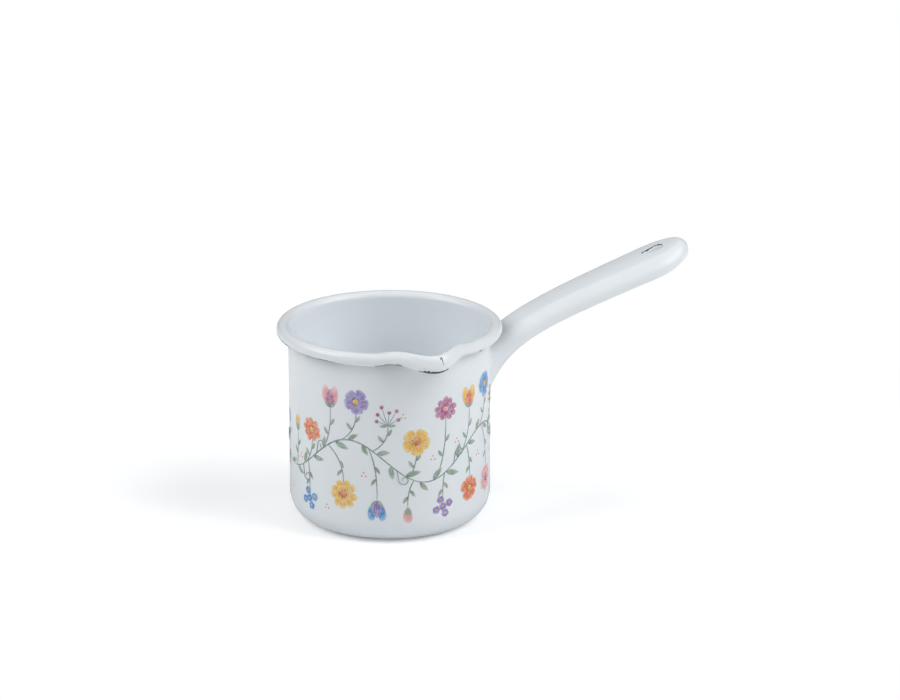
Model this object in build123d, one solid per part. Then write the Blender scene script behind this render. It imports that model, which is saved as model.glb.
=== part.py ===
from build123d import *
from math import atan2, cos, degrees, pi, radians, sin, sqrt, tan
import os

# A milk pan of enamelled sheet steel: a deep straight cup with a curled rim and
# a pouring lip, and a hollow channel handle that rises to one side.
# Sizes are millimetres and degrees, measured over the enamel.
# The origin is on the cup's axis at the underside of its base. +Z is up, +X runs
# along the handle and the pouring lip points toward -Y.

# Cup
wall_thickness = 1.2
cup_height = 92.4
cup_radius_at_rim = 46.4
cup_radius_at_base = 46.0
base_corner_radius = 12.1
corner_pull_share = 0.552

# Curled rim: a bead that lies flush with the inside of the wall
curl_height = 5.7
curl_flat = 0.7
curl_end_angle = -128
curl_hollow_flat_count = 3

# Pouring lip
lip_direction = -90
lip_half_angle = 31
lip_reach = 9.0
lip_inner_lift = 0.6
lip_outer_drop = 1.7
lip_shoulder_rise = 1.4
lip_wall_lean = 30
lip_depth = 26.0
lip_sharpness = 4
lip_section_count = 13
lip_upper_pull_share = 0.45
lip_lower_pull_share = 0.4

# Handle
handle_reach = 149.0
handle_rise_angle = 17.9
handle_width = 27.1
handle_taper_angle = 1.85
handle_tip_radius = 10.2
handle_side_radius = 22.9
handle_flank_depth = 7.5
handle_shoulder_radius = 6.0
shoulder_flank_limit_share = 0.82
shoulder_tip_limit_share = 0.62

# Root of the handle, where it bends down, deepens and flares against the wall
root_below_rim = 16.3
root_sag = 8.66
root_flank_depth = 13.4
crown_bend_length = 39.9
lower_bend_length = 34.0
flare_length = 13.1
flare_radius = 60.8
root_reach_inside_wall = 4.0
root_seat_step_count = 6

# Hanging slot
slot_length = 10.6
slot_width = 5.6
slot_point_width = 2.4
slot_tip_margin = 12.2

# Weld beads in the corner between the handle's inside and the wall
weld_leg = 1.5
flank_weld_length_share = 0.55
crown_weld_width_share = 0.5

# Widest mismatch allowed where the lip's curved foot meets the round wall
seam_tolerance = 0.005

# Shared sizes of the curl and the wall
full_turn = 360
half_turn = 180
quarter_turn = 90
curl_radius = curl_height / 2
curl_inside_radius = curl_radius - wall_thickness
curl_center_height = cup_height - curl_radius
wall_lean = degrees(atan2(cup_radius_at_rim - cup_radius_at_base, cup_height))
wall_width = wall_thickness / cos(radians(wall_lean))
lip_start_height = cup_height - lip_depth

# Places on the handle that follow from where its crown meets the cup
root_start = cup_radius_at_rim - root_reach_inside_wall
root_height = cup_height - root_below_rim
handle_length = handle_reach - cup_radius_at_rim
shoulder_radius_in_use = min(
    handle_shoulder_radius,
    handle_flank_depth * shoulder_flank_limit_share,
    handle_tip_radius * shoulder_tip_limit_share,
)
handle_tip_height = (
    root_height + root_sag + handle_length * tan(radians(handle_rise_angle))
)


def outer_radius(height):
    """Radius of the cup's outside at a height."""
    return cup_radius_at_rim - (cup_height - height) * tan(radians(wall_lean))


def inner_radius(height):
    """Radius of the cup's inside at a height."""
    return outer_radius(height) - wall_width


def polar(center, radius, angle):
    """A point on a circle in a radial section."""
    return (
        center[0] + radius * cos(radians(angle)),
        center[1] + radius * sin(radians(angle)),
    )


def arc_between(center, radius, start_angle, end_angle):
    """An arc of a radial section between two angles."""
    return CenterArc(center, radius, start_angle, end_angle - start_angle)


def spread(start, end, step_count):
    """Evenly spaced values from a start to an end, both included."""
    return [start + (end - start) * step / step_count for step in range(step_count + 1)]


def lip_bulge(angle):
    """Share of the full lip, from 1 at its middle to 0 at both ends."""
    if abs(angle) >= lip_half_angle:
        return 0
    return cos(pi / 2 * angle / lip_half_angle) ** lip_sharpness


def lip_shoulder(angle):
    """Share of the raised shoulders, 0 at the middle and at both ends."""
    return sin(pi * angle / lip_half_angle) ** 2


def upper_section(angle):
    """The closed section of wall and curl above the foot of the lip.

    The angle is measured from the middle of the lip. At its ends the section
    is the same as round the rest of the rim. The curl's hollow, which nothing
    shows, is drawn with flats.
    """
    bulge = lip_bulge(angle)
    rise = lip_shoulder_rise * lip_shoulder(angle)
    lean = wall_lean + lip_wall_lean * bulge
    rim_face = inner_radius(curl_center_height)
    inner_center = (
        rim_face + curl_radius * cos(radians(wall_lean)) + lip_reach * bulge,
        curl_center_height + rise + lip_inner_lift * bulge,
    )
    outer_center = (
        inner_center[0] + curl_flat,
        curl_center_height + rise - lip_outer_drop * bulge,
    )
    slope = degrees(atan2(outer_center[1] - inner_center[1], curl_flat))
    wall_angle = half_turn - lean
    top_angle = quarter_turn + slope

    def wall_line(foot_radius, radius):
        foot = (foot_radius, lip_start_height)
        top = polar(inner_center, radius, wall_angle)
        if bulge == 0:
            return Line(foot, top)
        height = top[1] - foot[1]
        lower_pull = height * lip_lower_pull_share
        upper_pull = height * lip_upper_pull_share
        return Bezier(
            foot,
            (foot[0] + lower_pull * tan(radians(wall_lean)), foot[1] + lower_pull),
            (top[0] - upper_pull * tan(radians(lean)), top[1] - upper_pull),
            top,
        )

    hollow = [
        polar(outer_center, curl_inside_radius, turn)
        for turn in spread(curl_end_angle, top_angle, curl_hollow_flat_count)
    ]
    hollow.append(polar(inner_center, curl_inside_radius, top_angle))
    hollow.append(polar(inner_center, curl_inside_radius, wall_angle))
    edges = [
        wall_line(inner_radius(lip_start_height), curl_radius),
        arc_between(inner_center, curl_radius, wall_angle, top_angle),
        Line(
            polar(inner_center, curl_radius, top_angle),
            polar(outer_center, curl_radius, top_angle),
        ),
        arc_between(outer_center, curl_radius, top_angle, curl_end_angle),
        Line(polar(outer_center, curl_radius, curl_end_angle), hollow[0]),
        *[Line(first, second) for first, second in zip(hollow, hollow[1:])],
        wall_line(outer_radius(lip_start_height), curl_inside_radius),
        Line(
            (outer_radius(lip_start_height), lip_start_height),
            (inner_radius(lip_start_height), lip_start_height),
        ),
    ]
    section = make_face(Plane.XZ * Curve(edges))
    return Rot(0, 0, lip_direction + angle) * section


def base_corner(radius_at, floor, radius):
    """The quarter-round line from the base up into the wall."""
    end = (radius_at(floor + radius), floor + radius)
    start = (end[0] - radius, floor)
    pull = radius * corner_pull_share
    return Bezier(start, (start[0] + pull, floor), (end[0], end[1] - pull), end)


def lower_cup():
    """The base, its rounded corner and the straight wall below the lip."""
    outside = base_corner(outer_radius, 0, base_corner_radius)
    inside = base_corner(inner_radius, wall_thickness, base_corner_radius - wall_thickness)
    outside_top = (outer_radius(lip_start_height), lip_start_height)
    inside_top = (inner_radius(lip_start_height), lip_start_height)
    outline = Curve([
        Line((0, 0), outside @ 0),
        outside,
        Line(outside @ 1, outside_top),
        Line(outside_top, inside_top),
        Line(inside_top, inside @ 1),
        inside,
        Line(inside @ 0, (0, wall_thickness)),
        Line((0, wall_thickness), (0, 0)),
    ])
    return revolve(Plane.XZ * make_face(outline), Axis.Z, full_turn)


def rim_ring():
    """The upper wall and curl all round, apart from the pouring lip."""
    section = upper_section(lip_half_angle)
    return revolve(section, Axis.Z, full_turn - 2 * lip_half_angle)


def pouring_lip():
    """The stretch of rim that is pressed out and down as a spout."""
    angles = spread(-lip_half_angle, lip_half_angle, lip_section_count - 1)
    return loft([upper_section(angle) for angle in angles])


def vessel():
    """The whole cup, one pressed sheet."""
    return lower_cup().fuse(rim_ring(), pouring_lip(), tol=seam_tolerance)


def cup_envelope():
    """The filled outside of the cup wall, which the handle is cut to fit."""
    outline = Polyline(
        (0, 0),
        (outer_radius(0), 0),
        (outer_radius(cup_height), cup_height),
        (0, cup_height),
        close=True,
    )
    return revolve(Plane.XZ * make_face(outline), Axis.Z, full_turn)


def straight_height(reach, depth):
    """Height of a straight line that rises with the handle, at a depth below its crown."""
    return handle_tip_height - depth - (handle_reach - reach) * tan(radians(handle_rise_angle))


def bend_radius(bend_length, sag):
    """Radius of an arc that leaves a rising line and lies a sag below it at the cup."""
    rise = radians(handle_rise_angle)
    fall = bend_length * tan(rise) + sag
    return (bend_length ** 2 + fall ** 2) / (2 * sag * cos(rise))


def bent_height(reach, depth, bend_length, sag):
    """Height of a line that rises with the handle and bends down near the cup."""
    bend_start = cup_radius_at_rim + bend_length
    if reach >= bend_start:
        return straight_height(reach, depth)
    rise = radians(handle_rise_angle)
    radius = bend_radius(bend_length, sag)
    center = (
        bend_start + radius * sin(rise),
        straight_height(bend_start, depth) - radius * cos(rise),
    )
    return center[1] + sqrt(radius ** 2 - (reach - center[0]) ** 2)


def crown_height(reach):
    """Height of the handle's crown at a distance from the cup's axis."""
    return bent_height(reach, 0, crown_bend_length, root_sag)


def lower_height(reach):
    """Height of the flanks' lower edge at a distance from the cup's axis."""
    sag = root_sag + root_flank_depth - handle_flank_depth
    return bent_height(reach, handle_flank_depth, lower_bend_length, sag)


def seat_reach(height_at):
    """Distance from the axis at which a line along the handle meets the cup wall."""
    reach = cup_radius_at_rim
    for _ in range(root_seat_step_count):
        reach = outer_radius(height_at(reach))
    return reach


def side_center():
    """Centre of the arc that leads the near side into the rounded end."""
    offset = handle_side_radius - handle_width / 2
    apart = handle_side_radius - handle_tip_radius
    return (handle_reach - handle_tip_radius - sqrt(apart ** 2 - offset ** 2), offset)


def side_points():
    """Ends of the straight stretch of the near side, at the flare and at the end arc."""
    end = polar(side_center(), handle_side_radius, -quarter_turn - handle_taper_angle)
    flare_start = cup_radius_at_rim + flare_length
    narrowing = (end[0] - flare_start) * tan(radians(handle_taper_angle))
    return (flare_start, end[1] + narrowing), end


def half_width(reach):
    """Half of the handle's width at a distance from the axis, near the cup."""
    start = side_points()[0]
    center = polar(start, flare_radius, -quarter_turn - handle_taper_angle)
    return -center[1] - sqrt(flare_radius ** 2 - (reach - center[0]) ** 2)


def handle_plan():
    """The handle's outline from above."""
    root = (root_start, -half_width(root_start))
    flare_end, arc_start = side_points()
    tip_center = (handle_reach - handle_tip_radius, 0)
    middle = side_center()
    join_angle = degrees(atan2(tip_center[1] - middle[1], tip_center[0] - middle[0]))
    near = [
        RadiusArc(root, flare_end, flare_radius),
        Line(flare_end, arc_start),
        arc_between(middle, handle_side_radius, -quarter_turn - handle_taper_angle, join_angle),
    ]
    far = [mirror(edge, Plane.XZ) for edge in near]
    end = arc_between(tip_center, handle_tip_radius, join_angle, -join_angle)
    return make_face(Curve([*near, end, *far, Line(root, (root[0], -root[1]))]))


def handle_side(drop, overrun):
    """The handle's side outline, with its crown lowered and its open side run over."""
    crown_places = (handle_reach, cup_radius_at_rim + crown_bend_length, root_start)
    lower_places = (handle_reach, cup_radius_at_rim + lower_bend_length, root_start)
    lower_sag = root_sag + root_flank_depth - handle_flank_depth
    crown = [(reach, crown_height(reach) - drop) for reach in crown_places]
    lower = [(reach, lower_height(reach) - overrun) for reach in lower_places]
    outline = Curve([
        Line(crown[0], crown[1]),
        RadiusArc(crown[1], crown[2], -bend_radius(crown_bend_length, root_sag)),
        Line(crown[2], lower[2]),
        RadiusArc(lower[2], lower[1], bend_radius(lower_bend_length, lower_sag)),
        Line(lower[1], lower[0]),
        Line(lower[0], crown[0]),
    ])
    return make_face(outline)


def shoulder_edges(body):
    """The edges along the crown of a handle-shaped solid, apart from its root's."""
    steepest = cos(radians(quarter_turn / 2))
    crown = [face for face in body.faces() if face.normal_at(face.center()).Z > steepest]
    edges = [edge for face in crown for edge in face.edges()]
    return [
        edge for edge in edges
        if (edge @ (1 / 2)).X > cup_radius_at_rim
        and sum(edge.is_same(other) for other in edges) == 1
    ]


def hump(inset, drop, overrun, shoulder_radius):
    """A handle-shaped solid with rounded shoulders along its crown and end."""
    side = extrude(Plane.XZ * handle_side(drop, overrun), handle_width, both=True)
    plan = extrude(offset(handle_plan(), -inset), cup_height + handle_tip_height)
    body = side & plan
    return fillet(shoulder_edges(body), shoulder_radius)


def handle_hollow():
    """The space inside the channel, open below."""
    drop = wall_thickness / cos(radians(handle_rise_angle))
    shoulder_radius = shoulder_radius_in_use - wall_thickness
    return hump(wall_thickness, drop, handle_flank_depth, shoulder_radius)


def hanging_slot():
    """A cutter for the slot: round toward the tip and narrower toward the root."""
    tip_radius = slot_width / 2
    root_radius = slot_point_width / 2
    tip_center = handle_reach - slot_tip_margin - tip_radius
    root_center = handle_reach - slot_tip_margin - slot_length + root_radius
    outline = make_hull([
        *CenterArc((tip_center, 0), tip_radius, 0, full_turn).edges(),
        *CenterArc((root_center, 0), root_radius, 0, full_turn).edges(),
    ])
    return extrude(outline, cup_height + handle_tip_height)


def handle(hollow, envelope):
    """The pressed channel handle, cut to sit on the cup wall."""
    blank = hump(0, 0, 0, shoulder_radius_in_use)
    return blank - hollow - hanging_slot() - envelope


def flank_weld(hollow, envelope, side):
    """The weld bead down one flank, inside the channel; side is -1 or 1."""
    top = crown_height(seat_reach(crown_height))
    bottom = lower_height(seat_reach(lower_height))
    height = (top + bottom) / 2
    length = (top - bottom) * flank_weld_length_share
    from_middle = half_width(outer_radius(height)) - wall_thickness
    wall = sqrt(outer_radius(height) ** 2 - from_middle ** 2)
    bead = Pos(wall, side * from_middle, height) * Cylinder(weld_leg, length)
    return bead & hollow - envelope


def crown_weld(hollow, envelope):
    """The weld bead under the crown, inside the channel."""
    reach = seat_reach(crown_height)
    height = crown_height(reach) - wall_thickness
    width = 2 * (half_width(reach) - wall_thickness) * crown_weld_width_share
    sweep_angle = degrees(width / reach)
    circle = Pos(outer_radius(height), height) * Circle(weld_leg)
    bead = revolve(Rot(0, 0, -sweep_angle / 2) * (Plane.XZ * circle), Axis.Z, sweep_angle)
    return bead & hollow - envelope


if __name__ == "__main__":
    os.makedirs("parts", exist_ok=True)
    wall = cup_envelope()
    inside_handle = handle_hollow()
    nodes = {
        "vessel": vessel(),
        "handle": handle(inside_handle, wall),
        "weld_near": flank_weld(inside_handle, wall, -1),
        "weld_far": flank_weld(inside_handle, wall, 1),
        "weld_crown": crown_weld(inside_handle, wall),
    }
    for name, solid in nodes.items():
        solid.label = name
        export_step(solid, "parts/" + name + ".step")
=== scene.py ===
"""Looks of an enamelled steel milk pan: cup, handle, painted garland and studio.

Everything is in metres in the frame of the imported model: the origin is under the
middle of the base, +Z is up, +X runs along the handle and the pouring lip points
to -Y. Sizes are written in millimetres and degrees.
"""

import logging
import math
from dataclasses import dataclass
from enum import Enum
from random import Random
from typing import Callable, Sequence

import bmesh
import bpy
from mathutils import Matrix, Vector


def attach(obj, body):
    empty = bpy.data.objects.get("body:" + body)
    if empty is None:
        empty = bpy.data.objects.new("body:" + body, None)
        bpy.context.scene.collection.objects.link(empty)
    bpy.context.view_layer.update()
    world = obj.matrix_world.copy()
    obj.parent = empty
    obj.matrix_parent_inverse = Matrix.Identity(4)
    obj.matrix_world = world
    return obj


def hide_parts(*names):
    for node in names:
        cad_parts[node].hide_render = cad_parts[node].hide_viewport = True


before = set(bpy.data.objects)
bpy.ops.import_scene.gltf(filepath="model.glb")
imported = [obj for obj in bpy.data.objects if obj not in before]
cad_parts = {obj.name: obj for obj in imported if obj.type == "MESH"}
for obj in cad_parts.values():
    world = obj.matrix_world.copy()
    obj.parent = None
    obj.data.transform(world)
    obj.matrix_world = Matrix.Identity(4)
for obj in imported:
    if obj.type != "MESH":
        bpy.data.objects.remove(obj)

LOG = logging.getLogger("milk_pan")

MM = 0.001
FULL_TURN = 360.0
HALF_TURN = 180.0
QUARTER_TURN = 90.0
BODY = "root"
DARK_COAT_AND_SHADE = "dark_coat_and_shade"
PAINT_UV = "paint"
MERGE_DISTANCE = 0.0005 * MM
SMOOTH = {"interpolation_type": "SMOOTHSTEP"}
COLOUR_MIX = {"output": 2, "data_type": "RGBA"}

Point = tuple[float, float]
Span = tuple[float, float]
Tree = bpy.types.NodeTree
Socket = bpy.types.NodeSocket


def linear(code: str) -> tuple[float, float, float, float]:
    """Turn an sRGB hex colour into a linear one.

    Args:
        code: six hex digits, such as "F2F3F4".

    Returns:
        Linear red, green, blue and an alpha of 1.
    """
    shares = [int(code[place:place + 2], 16) / 255 for place in (0, 2, 4)]
    parts = [
        share / 12.92 if share <= 0.04045 else ((share + 0.055) / 1.055) ** 2.4
        for share in shares
    ]
    return (*parts, 1.0)


def per_metre(size_mm: float) -> float:
    """Give the noise scale whose features are about a size in millimetres."""
    return 1.0 / (size_mm * MM)


def add_node(tree: Tree, kind: str, inputs: dict | None = None,
             output: int | str = 0, **settings: object) -> Socket | None:
    """Add one shader node with its settings and inputs.

    Args:
        tree: the material's node tree.
        kind: the node's type name after its ShaderNode prefix.
        inputs: socket name or index to a fixed value, or to the socket that feeds it.
        output: name or index of the output to give back.
        settings: the node's own properties.

    Returns:
        The output socket, or None where the node has none.
    """
    node = tree.nodes.new(f"ShaderNode{kind}")
    for name, value in settings.items():
        setattr(node, name, value)
    for socket, value in (inputs or {}).items():
        if isinstance(value, Socket):
            tree.links.new(value, node.inputs[socket])
        else:
            node.inputs[socket].default_value = value
    return node.outputs[output] if node.outputs else None


def new_material(name: str) -> tuple[bpy.types.Material, Tree]:
    """Make an empty node material and return it with its tree.

    Args:
        name: the material's name.

    Returns:
        The material and its node tree.
    """
    material = bpy.data.materials.new(name)
    material.use_nodes = True
    material.node_tree.nodes.clear()
    return material, material.node_tree


def make_object(name: str, bm: bmesh.types.BMesh, materials: Sequence[bpy.types.Material]) -> bpy.types.Object:
    """Turn a bmesh into a smooth object that rides on the pan.

    Args:
        name: the piece's name.
        bm: the finished mesh, which is freed.
        materials: the piece's materials, in slot order.

    Returns:
        The new object.
    """
    mesh = bpy.data.meshes.new(name)
    for face in bm.faces:
        face.smooth = True
    bm.to_mesh(mesh)
    bm.free()
    piece = bpy.data.objects.new(name, mesh)
    bpy.context.collection.objects.link(piece)
    for material in materials:
        mesh.materials.append(material)
    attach(piece, BODY)
    LOG.info("%s: %d vertices, %d faces", name, len(mesh.vertices), len(mesh.polygons))
    return piece


def on_circle(center: Point, radius: float, angle: float) -> Point:
    """Give the point of a circle at an angle in degrees."""
    turn = math.radians(angle)
    return center[0] + radius * math.cos(turn), center[1] + radius * math.sin(turn)


def arc_points(center: Point, radius: float, start: float, end: float, steps: int) -> list[Point]:
    """Give evenly spaced points of an arc, without its last one.

    Args:
        center: the circle's middle.
        radius: its radius.
        start: first angle in degrees.
        end: last angle in degrees.
        steps: how many points to give.

    Returns:
        The points.
    """
    return [
        on_circle(center, radius, start + (end - start) * step / steps)
        for step in range(steps)
    ]


def line_points(start: Point, end: Point, steps: int) -> list[Point]:
    """Give evenly spaced points of a line, without its last one.

    Args:
        start: the first point.
        end: the last point.
        steps: how many points to give.

    Returns:
        The points.
    """
    return [
        (start[0] + (end[0] - start[0]) * step / steps,
         start[1] + (end[1] - start[1]) * step / steps)
        for step in range(steps)
    ]


def bezier_points(corners: Sequence[Point], steps: int) -> list[Point]:
    """Give evenly spaced points of a cubic curve, without its last one.

    Args:
        corners: the four control points.
        steps: how many points to give.

    Returns:
        The points.
    """
    points = []
    for step in range(steps):
        t = step / steps
        weights = ((1 - t) ** 3, 3 * t * (1 - t) ** 2, 3 * t * t * (1 - t), t ** 3)
        points.append(tuple(
            sum(weight * corner[axis] for weight, corner in zip(weights, corners))
            for axis in (0, 1)
        ))
    return points


def spaced(points: Sequence[Point], count: int) -> list[Point]:
    """Spread a number of points evenly along an open line of points.

    Args:
        points: the line's corners.
        count: how many points to give, both ends included.

    Returns:
        The evenly spaced points.
    """
    lengths = [0.0]
    for first, second in zip(points, points[1:]):
        lengths.append(lengths[-1] + math.dist(first, second))
    result = []
    piece = 0
    for index in range(count):
        target = lengths[-1] * index / (count - 1)
        while piece < len(points) - 2 and lengths[piece + 1] < target:
            piece += 1
        span = lengths[piece + 1] - lengths[piece]
        share = (target - lengths[piece]) / span if span else 0.0
        first, second = points[piece], points[piece + 1]
        result.append((
            first[0] + (second[0] - first[0]) * share,
            first[1] + (second[1] - first[1]) * share,
        ))
    return result


@dataclass(frozen=True)
class WhiteEnamel:
    """White vitreous enamel, sprayed over a dark ground coat and fired.

    To the eye it is a hard, cool white glaze with soft broad reflections. It
    flowed a little while it was molten, so the surface is very slightly wavy,
    and it thins to the dark ground coat along the cut edge of the curl. The
    same dark colour is painted along the far edge of the handle's hanging slot
    as painted shade. Each span gives the values between which an effect grows
    from none to full.
    """

    glaze: str = "F1F7FB"
    thick_glaze: str = "F3F8FC"
    undercoat_and_shade: str = "121318"
    roughness: float = 0.22
    rough_spread: float = 0.012
    index: float = 1.52
    wave_mm: float = 14.0
    wave_height_mm: float = 0.012
    peel_mm: float = 1.1
    peel_height_mm: float = 0.0016
    chip_mm: float = 1.3
    thick_span: Span = (0.35, 0.65)
    rough_span: Span = (0.3, 0.7)
    dark_coat_and_shade_span: Span = (1.0, 1.1)

    def build(self, name: str, with_dark_coat_and_shade: bool) -> bpy.types.Material:
        """Make the material.

        Args:
            name: the material's name.
            with_dark_coat_and_shade: whether the mesh says where the ground coat shows and where painted shade
                lies.

        Returns:
            The material.
        """
        material, tree = new_material(name)
        place = add_node(tree, "TexCoord", output="Object")
        colour = self.glaze_colour(tree, place)
        # The dark colour is bared ground coat on the cup's rim and painted shade along the handle's slot.
        if with_dark_coat_and_shade:
            bare = self._dark_coat_and_shade(tree, place)
            mixed = {0: bare, 6: colour, 7: linear(self.undercoat_and_shade)}
            colour = add_node(tree, "Mix", mixed, **COLOUR_MIX)
        self.coat(tree, place, colour)
        return material

    def glaze_colour(self, tree: Tree, place: Socket) -> Socket:
        """Add the white that is a touch lighter where the glaze lies thicker.

        Args:
            tree: the material's node tree.
            place: object coordinates.

        Returns:
            The colour.
        """
        cloud = add_node(
            tree, "TexNoise", {"Vector": place, "Scale": per_metre(self.wave_mm), "Detail": 2.0}
        )
        low, high = self.thick_span
        thick = add_node(
            tree, "MapRange", {"Value": cloud, "From Min": low, "From Max": high}, **SMOOTH
        )
        whites = {0: thick, 6: linear(self.glaze), 7: linear(self.thick_glaze)}
        return add_node(tree, "Mix", whites, **COLOUR_MIX)

    def coat(self, tree: Tree, place: Socket, colour: Socket) -> None:
        """Add the glossy glaze over a colour and send it to the material's output.

        Args:
            tree: the material's node tree.
            place: object coordinates.
            colour: the colour under the gloss.
        """
        patches = add_node(
            tree, "TexNoise", {"Vector": place, "Scale": per_metre(self.wave_mm / 3), "Detail": 3.0}
        )
        low, high = self.rough_span
        rough = add_node(tree, "MapRange", {
            "Value": patches, "From Min": low, "From Max": high,
            "To Min": self.roughness, "To Max": self.roughness + self.rough_spread,
        })
        flow = add_node(
            tree, "TexNoise", {"Vector": place, "Scale": per_metre(self.wave_mm), "Detail": 1.0}
        )
        waves = add_node(tree, "Bump", {"Height": flow, "Distance": self.wave_height_mm * MM})
        skin = add_node(
            tree, "TexNoise", {"Vector": place, "Scale": per_metre(self.peel_mm), "Detail": 1.0}
        )
        peel = add_node(
            tree, "Bump", {"Height": skin, "Distance": self.peel_height_mm * MM, "Normal": waves}
        )
        shader = add_node(tree, "BsdfPrincipled", {
            "Base Color": colour, "Roughness": rough, "Normal": peel, "IOR": self.index,
        })
        add_node(tree, "OutputMaterial", {"Surface": shader})

    def _dark_coat_and_shade(self, tree: Tree, place: Socket) -> Socket:
        """Show the dark colour where the mesh's attribute and the noise allow it: bared ground coat on the
        rim, painted shade at the handle's slot.

        Args:
            tree: the material's node tree.
            place: object coordinates.

        Returns:
            The dark colour's share, from 0 to 1.
        """
        wear_and_shade = add_node(tree, "Attribute", output="Fac", attribute_name=DARK_COAT_AND_SHADE)
        ragged = add_node(
            tree, "TexNoise", {"Vector": place, "Scale": per_metre(self.chip_mm), "Detail": 3.0}
        )
        total = add_node(tree, "Math", {0: wear_and_shade, 1: ragged}, operation="ADD")
        low, high = self.dark_coat_and_shade_span
        return add_node(
            tree, "MapRange", {"Value": total, "From Min": low, "From Max": high}, **SMOOTH
        )


@dataclass(frozen=True)
class FiredPaint:
    """Ceramic colour, laid on the glaze in watery washes and fired into it.

    To the eye it is thin colour under the enamel's own gloss: deep at the heart of
    a petal, pale and uneven toward its edge, with fine darker strokes along it.
    Each span gives the values between which an effect grows from none to full.
    """

    heart: str
    body: str
    tip: str
    stroke: str
    body_span: Span = (0.08, 0.4)
    tip_span: Span = (0.55, 1.0)
    strokes: float = 4.0
    stroke_strength: float = 0.55
    stroke_drift: float = 2.5
    stroke_span: Span = (0.45, 0.95)
    stroke_reach_span: Span = (0.85, 0.45)
    ragged_side: float = 0.5
    ragged_end: float = 0.35
    edge_strength: float = 0.5
    edge_span: Span = (0.36, 0.56)
    thin_tip_span: Span = (0.86, 1.06)
    wash_strength: float = 0.26
    wash_span: Span = (0.42, 0.66)
    bleed_mm: float = 0.55
    wash_mm: float = 2.2

    def build(self, name: str, enamel: WhiteEnamel) -> bpy.types.Material:
        """Make the material.

        Args:
            name: the material's name.
            enamel: the glaze that the colour is fired into.

        Returns:
            The material.
        """
        material, tree = new_material(name)
        place = add_node(tree, "TexCoord", output="Object")
        white = enamel.glaze_colour(tree, place)
        bleed = add_node(
            tree, "TexNoise", {"Vector": place, "Scale": per_metre(self.bleed_mm), "Detail": 3.0}
        )
        across, along = self._ragged_place(tree, bleed)
        colour = self._petal_colour(tree, along)
        colour = self._fine_strokes(tree, colour, bleed, along)
        colour = self._thin_places(tree, place, colour, across, along, white)
        enamel.coat(tree, place, colour)
        return material

    def _ragged_place(self, tree: Tree, bleed: Socket) -> tuple[Socket, Socket]:
        """Give the distance from the petal's middle line and along it, both ragged.

        Args:
            tree: the material's node tree.
            bleed: the fine noise at the paint's edges.

        Returns:
            Both distances.
        """
        chart = add_node(tree, "UVMap", uv_map=PAINT_UV)
        split = add_node(tree, "SeparateXYZ", {0: chart}).node.outputs
        offset = add_node(tree, "Math", {0: bleed, 1: 0.5}, operation="SUBTRACT")
        centred = add_node(tree, "Math", {0: split["X"], 1: 0.5}, operation="SUBTRACT")
        aside = add_node(tree, "Math", {0: centred}, operation="ABSOLUTE")
        across, along = (
            add_node(tree, "Math", {0: offset, 1: ragged, 2: even}, operation="MULTIPLY_ADD")
            for ragged, even in ((self.ragged_side, aside), (self.ragged_end, split["Y"]))
        )
        return across, along

    def _petal_colour(self, tree: Tree, along: Socket) -> Socket:
        """Run the colour from the petal's heart over its body to its tip.

        Args:
            tree: the material's node tree.
            along: ragged distance along the petal.

        Returns:
            The colour.
        """
        body, tip = (
            add_node(
                tree, "MapRange", {"Value": along, "From Min": low, "From Max": high}, **SMOOTH
            )
            for low, high in (self.body_span, self.tip_span)
        )
        hearts = {0: body, 6: linear(self.heart), 7: linear(self.body)}
        inner = add_node(tree, "Mix", hearts, **COLOUR_MIX)
        return add_node(tree, "Mix", {0: tip, 6: inner, 7: linear(self.tip)}, **COLOUR_MIX)

    def _fine_strokes(self, tree: Tree, colour: Socket, bleed: Socket, along: Socket) -> Socket:
        """Lay fine darker strokes along the petal, which end before its tip.

        Args:
            tree: the material's node tree.
            colour: the petal's colour.
            bleed: the fine noise.
            along: ragged distance along the petal.

        Returns:
            The mixed colour.
        """
        chart = add_node(tree, "UVMap", uv_map=PAINT_UV)
        side = add_node(tree, "SeparateXYZ", {0: chart}, output="X")
        drift = add_node(tree, "Math", {0: bleed, 1: self.stroke_drift}, operation="MULTIPLY")
        turns = {0: side, 1: self.strokes * math.tau, 2: drift}
        phase = add_node(tree, "Math", turns, operation="MULTIPLY_ADD")
        wave = add_node(tree, "Math", {0: phase}, operation="SINE")
        thin, reach = (
            add_node(tree, "MapRange", {
                "Value": value, "From Min": low, "From Max": high, "To Max": most,
            }, **SMOOTH)
            for value, (low, high), most in (
                (wave, self.stroke_span, self.stroke_strength),
                (along, self.stroke_reach_span, 1.0),
            )
        )
        factor = add_node(tree, "Math", {0: thin, 1: reach}, operation="MULTIPLY")
        return add_node(tree, "Mix", {0: factor, 6: colour, 7: linear(self.stroke)}, **COLOUR_MIX)

    def _thin_places(self, tree: Tree, place: Socket,
                     colour: Socket, across: Socket,
                     along: Socket,
                     white: Socket) -> Socket:
        """Let the white through at the edges, the tip and where the wash is thin.

        Args:
            tree: the material's node tree.
            place: object coordinates.
            colour: the paint's colour.
            across: ragged distance from the petal's middle line.
            along: ragged distance along the petal.
            white: the glaze below.

        Returns:
            The mixed colour.
        """
        cloud = add_node(
            tree, "TexNoise", {"Vector": place, "Scale": per_metre(self.wash_mm), "Detail": 2.0}
        )
        edge, tip, wash = (
            add_node(tree, "MapRange", {
                "Value": value, "From Min": low, "From Max": high, "To Max": most,
            }, **SMOOTH)
            for value, (low, high), most in (
                (across, self.edge_span, self.edge_strength),
                (along, self.thin_tip_span, self.edge_strength),
                (cloud, self.wash_span, self.wash_strength),
            )
        )
        rim = add_node(tree, "Math", {0: edge, 1: tip}, operation="MAXIMUM")
        thin = add_node(tree, "Math", {0: rim, 1: wash}, operation="MAXIMUM")
        return add_node(tree, "Mix", {0: thin, 6: colour, 7: white}, **COLOUR_MIX)


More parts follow.
